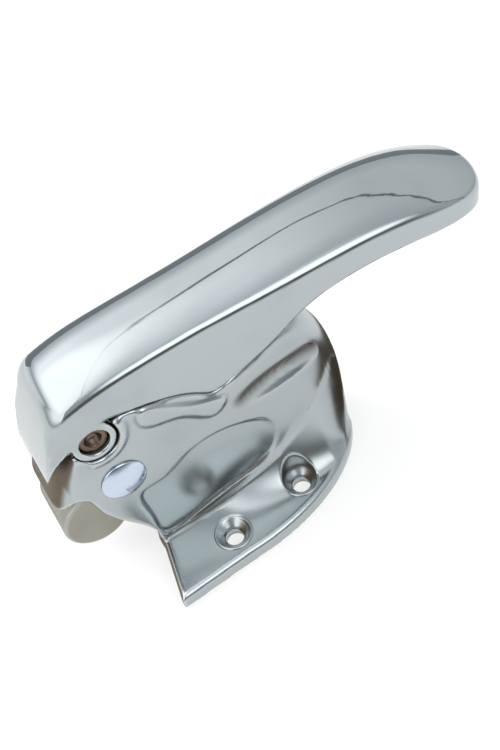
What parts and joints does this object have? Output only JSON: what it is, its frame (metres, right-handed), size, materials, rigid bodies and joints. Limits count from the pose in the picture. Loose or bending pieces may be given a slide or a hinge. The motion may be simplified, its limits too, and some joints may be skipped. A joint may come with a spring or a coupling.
{
  "type": "lever latch",
  "caption": "Chrome lever latch for a showcase door: long arched paddle handle over a domed flanged body, with a rounded spring tongue under its nose.",
  "frame": {"origin": "on the base plane, in the middle of the four screw holes", "axes": "+X towards the tip of the handle, +Y across the body along the pivots, +Z out of the door"},
  "size_m": [0.145, 0.0682, 0.0822],
  "materials": {
    "body_chrome": "bright chrome plate over a polished die casting",
    "handle_chrome": "bright chrome plate over a polished die casting",
    "rivet_chrome": "bright plated steel",
    "pin_steel": "turned steel",
    "spring_steel": "drawn spring wire",
    "tongue_satin": "satin, warm grey",
    "spacer_brass": "turned",
    "nylon": "natural nylon",
    "pad_rubber": "matte"
  },
  "bodies": {
    "base": {"body": "body_chrome", "near_pin_washer": "nylon", "far_pin_washer": "nylon", "tongue_spacer": "spacer_brass", "near_tongue_shim": "nylon", "far_tongue_shim": "nylon", "tongue_rivet": "rivet_chrome", "rivet_washer": "rivet_chrome", "rest_pad": "pad_rubber", "handle_spring": "spring_steel", "tongue_spring": "spring_steel"},
    "lever": {"handle": "handle_chrome", "handle_pin": "pin_steel", "lift_pin": "pin_steel"},
    "bolt": {"tongue": "tongue_satin"}
  },
  "joints": [
    {"name": "handle_hinge", "type": "hinge", "parent": "base", "child": "lever", "pos_m": [-0.036, 0, 0.0583], "axis": [0, -1, 0], "range_deg": [0, 10], "stiffness_Nm_per_rad": 0.15, "springref_deg": -28.65, "deforming": ["handle_spring"]},
    {"name": "tongue_hinge", "type": "hinge", "parent": "base", "child": "bolt", "pos_m": [-0.0334, 0, 0.0395], "axis": [0, -1, 0], "range_deg": [0, 13], "stiffness_Nm_per_rad": 0.04, "springref_deg": -28.65, "deforming": ["tongue_spring"]}
  ],
  "couplings": [
    {"joint": "tongue_hinge", "follows": "handle_hinge", "ratio": 1.3}
  ]
}
